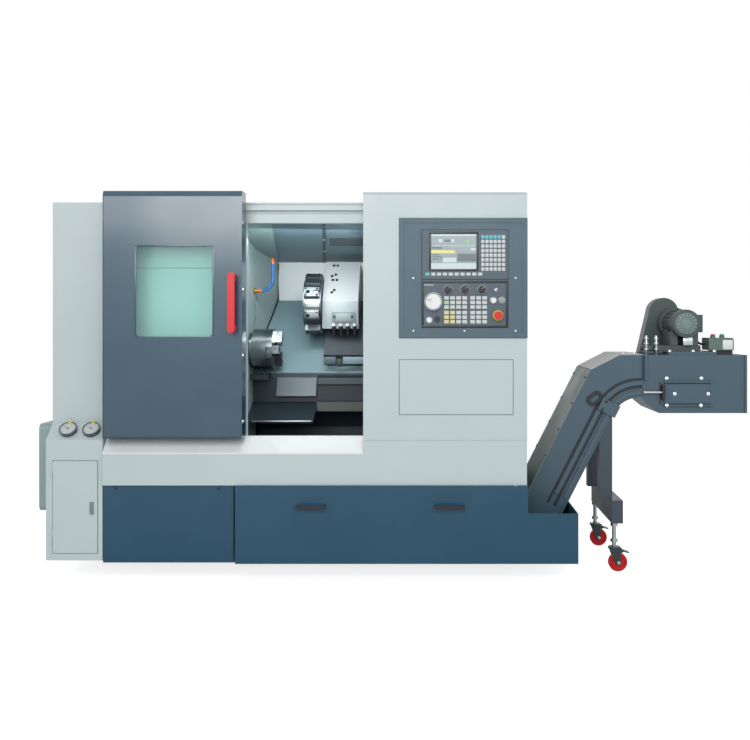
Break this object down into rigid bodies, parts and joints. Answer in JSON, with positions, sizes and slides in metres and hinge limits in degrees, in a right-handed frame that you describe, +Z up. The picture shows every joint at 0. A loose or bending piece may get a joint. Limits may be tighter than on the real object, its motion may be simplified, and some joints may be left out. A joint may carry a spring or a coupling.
{
  "type": "enclosed slant-bed turning lathe",
  "caption": "Enclosed slant-bed lathe with sliding door, chuck, tool turret, control panel, coolant tank and side chip conveyor on casters.",
  "frame": {"origin": "centre of the footprint on the floor", "axes": "+X along the spindle to the conveyor, +Y from the door to the back, +Z up"},
  "size_m": [3.555, 1.535, 1.85],
  "materials": {
    "pale_paint": "satin powder coat",
    "wall_paint": "satin paint",
    "slate_paint": "satin paint",
    "navy_paint": "satin paint",
    "dark_casting": "painted casting",
    "roof_paint": "satin paint",
    "white_paint": "gloss paint",
    "way_cover": "satin steel",
    "stainless": "brushed stainless",
    "zinc_steel": "zinc plated",
    "tool_steel": "ground steel",
    "panel_paint": "fine texture paint",
    "black_plastic": "matte",
    "key_plastic": "matte",
    "white_plastic": "gloss",
    "grey_plastic": "gloss",
    "red_plastic": "gloss",
    "red_paint": "gloss",
    "red_polyurethane": "satin",
    "blue_hose": "matte",
    "conveyor_paint": "satin paint",
    "cover_paint": "satin paint",
    "motor_paint": "satin paint",
    "switch_plastic": "matte",
    "cable_rubber": "matte",
    "tinted_glass": "clear tinted sheet"
  },
  "bodies": {
    "machine": {"bed_casting": "dark_casting", "leveling_feet": "zinc_steel", "base_left_panel": "navy_paint", "coolant_tank": "navy_paint", "tank_handles": "black_plastic", "front_apron": "pale_paint", "door_sill": "stainless", "left_cover": "pale_paint", "rear_cover": "pale_paint", "header_beam": "pale_paint", "headstock_wall": "wall_paint", "inner_roof": "roof_paint", "back_splash": "white_paint", "slant_cover": "way_cover", "chip_guard": "roof_paint", "headstock": "dark_casting", "gauge_cabinet": "pale_paint", "pressure_gauges": "zinc_steel", "side_box": "wall_paint", "control_cabinet": "pale_paint", "service_hatch": "pale_paint", "control_panel": "panel_paint", "display_unit": "black_plastic", "panel_keys": "key_plastic", "coolant_hose": "blue_hose", "conveyor_casing": "conveyor_paint", "conveyor_covers": "cover_paint", "takeup_plate": "conveyor_paint", "gear_motor": "motor_paint", "chain_guard": "conveyor_paint", "switch_box": "switch_plastic", "motor_cable": "cable_rubber", "conveyor_stand": "conveyor_paint"},
    "door": {"door_panel": "slate_paint", "door_window": "tinted_glass", "door_handle": "red_paint"},
    "gauge_hatch": {"gauge_door": "pale_paint"},
    "spindle_unit": {"spindle": "tool_steel", "chuck_body": "tool_steel"},
    "chuck_jaw_1": {"jaw_1": "tool_steel"},
    "chuck_jaw_2": {"jaw_2": "tool_steel"},
    "chuck_jaw_3": {"jaw_3": "tool_steel"},
    "saddle": {"carriage": "dark_casting"},
    "turret_carrier": {"turret_housing": "white_paint"},
    "turret": {"turret_disc": "tool_steel"},
    "selector_1": {"knob_1": "black_plastic"},
    "selector_2": {"knob_2": "black_plastic"},
    "selector_3": {"knob_3": "black_plastic"},
    "pulse_wheel": {"handwheel": "white_plastic"},
    "stop_mushroom": {"emergency_stop": "red_plastic"},
    "start_key": {"start_button": "white_plastic"},
    "stop_key": {"stop_button": "grey_plastic"},
    "power_key": {"power_button": "white_plastic"},
    "lock_key": {"key_switch": "black_plastic"},
    "caster_front": {"front_fork": "zinc_steel"},
    "caster_rear": {"rear_fork": "zinc_steel"},
    "caster_front_wheel": {"front_wheel": "red_polyurethane"},
    "caster_rear_wheel": {"rear_wheel": "red_polyurethane"},
    "brake_front": {"front_pedal": "zinc_steel"},
    "brake_rear": {"rear_pedal": "zinc_steel"}
  },
  "joints": [
    {"name": "door_slide", "type": "slide", "parent": "machine", "child": "door", "axis": [1, 0, 0], "range_m": [0, 0.56]},
    {"name": "gauge_hatch_hinge", "type": "hinge", "parent": "machine", "child": "gauge_hatch", "pos_m": [-1.5885, -0.677, 0.362], "axis": [0, 0, -1], "range_deg": [0, 105]},
    {"name": "spindle_turn", "type": "hinge", "parent": "machine", "child": "spindle_unit", "pos_m": [-0.6175, -0.1925, 1.093], "axis": [1, 0, 0], "continuous": true},
    {"name": "jaw_1_grip", "type": "slide", "parent": "spindle_unit", "child": "chuck_jaw_1", "axis": [0, -1, 0], "range_m": [-0.004, 0.004]},
    {"name": "jaw_2_grip", "type": "slide", "parent": "spindle_unit", "child": "chuck_jaw_2", "axis": [0, 0.5, -0.866], "range_m": [-0.004, 0.004]},
    {"name": "jaw_3_grip", "type": "slide", "parent": "spindle_unit", "child": "chuck_jaw_3", "axis": [0, 0.5, 0.866], "range_m": [-0.004, 0.004]},
    {"name": "saddle_travel", "type": "slide", "parent": "machine", "child": "saddle", "axis": [1, 0, 0], "range_m": [-0.1, 0.35]},
    {"name": "cross_travel", "type": "slide", "parent": "saddle", "child": "turret_carrier", "axis": [0, 0.7071, 0.7071], "range_m": [-0.12, 0.04]},
    {"name": "turret_index", "type": "hinge", "parent": "turret_carrier", "child": "turret", "pos_m": [-0.4775, -0.0225, 1.332], "axis": [1, 0, 0], "continuous": true},
    {"name": "pulse_wheel_turn", "type": "hinge", "parent": "machine", "child": "pulse_wheel", "pos_m": [0.2115, -0.6845, 1.332], "axis": [0, -1, 0], "continuous": true},
    {"name": "stop_mushroom_press", "type": "slide", "parent": "machine", "child": "stop_mushroom", "axis": [0, 1, 0], "range_m": [0, 0.005], "stiffness_N_per_m": 800},
    {"name": "lock_key_turn", "type": "hinge", "parent": "machine", "child": "lock_key", "pos_m": [0.2305, -0.6845, 1.25], "axis": [0, -1, 0], "range_deg": [-90, 0]},
    {"name": "selector_1_turn", "type": "hinge", "parent": "machine", "child": "selector_1", "pos_m": [0.2805, -0.6845, 1.3885], "axis": [0, -1, 0], "range_deg": [-135, 135]},
    {"name": "selector_2_turn", "type": "hinge", "parent": "machine", "child": "selector_2", "pos_m": [0.3605, -0.6845, 1.3885], "axis": [0, -1, 0], "range_deg": [-135, 135]},
    {"name": "selector_3_turn", "type": "hinge", "parent": "machine", "child": "selector_3", "pos_m": [0.4405, -0.6845, 1.3885], "axis": [0, -1, 0], "range_deg": [-135, 135]},
    {"name": "start_key_press", "type": "slide", "parent": "machine", "child": "start_key", "axis": [0, 1, 0], "range_m": [0, 0.003], "stiffness_N_per_m": 500},
    {"name": "stop_key_press", "type": "slide", "parent": "machine", "child": "stop_key", "axis": [0, 1, 0], "range_m": [0, 0.003], "stiffness_N_per_m": 500},
    {"name": "power_key_press", "type": "slide", "parent": "machine", "child": "power_key", "axis": [0, 1, 0], "range_m": [0, 0.003], "stiffness_N_per_m": 500},
    {"name": "caster_front_swivel", "type": "hinge", "parent": "machine", "child": "caster_front", "pos_m": [1.1095, -0.4505, 0.1], "axis": [0, 0, 1], "continuous": true},
    {"name": "caster_front_roll", "type": "hinge", "parent": "caster_front", "child": "caster_front_wheel", "pos_m": [1.1275, -0.4505, 0.046], "axis": [0, 1, 0], "continuous": true},
    {"name": "brake_front_press", "type": "hinge", "parent": "caster_front", "child": "brake_front", "pos_m": [1.1435, -0.4505, 0.104], "axis": [0, 1, 0], "range_deg": [0, 10]},
    {"name": "caster_rear_swivel", "type": "hinge", "parent": "machine", "child": "caster_rear", "pos_m": [1.1095, 0.0675, 0.1], "axis": [0, 0, 1], "continuous": true},
    {"name": "caster_rear_roll", "type": "hinge", "parent": "caster_rear", "child": "caster_rear_wheel", "pos_m": [1.1275, 0.0675, 0.046], "axis": [0, 1, 0], "continuous": true},
    {"name": "brake_rear_press", "type": "hinge", "parent": "caster_rear", "child": "brake_rear", "pos_m": [1.1435, 0.0675, 0.104], "axis": [0, 1, 0], "range_deg": [0, 10]}
  ],
  "couplings": [
    {"joint": "jaw_2_grip", "follows": "jaw_1_grip", "ratio": 1},
    {"joint": "jaw_3_grip", "follows": "jaw_1_grip", "ratio": 1}
  ]
}
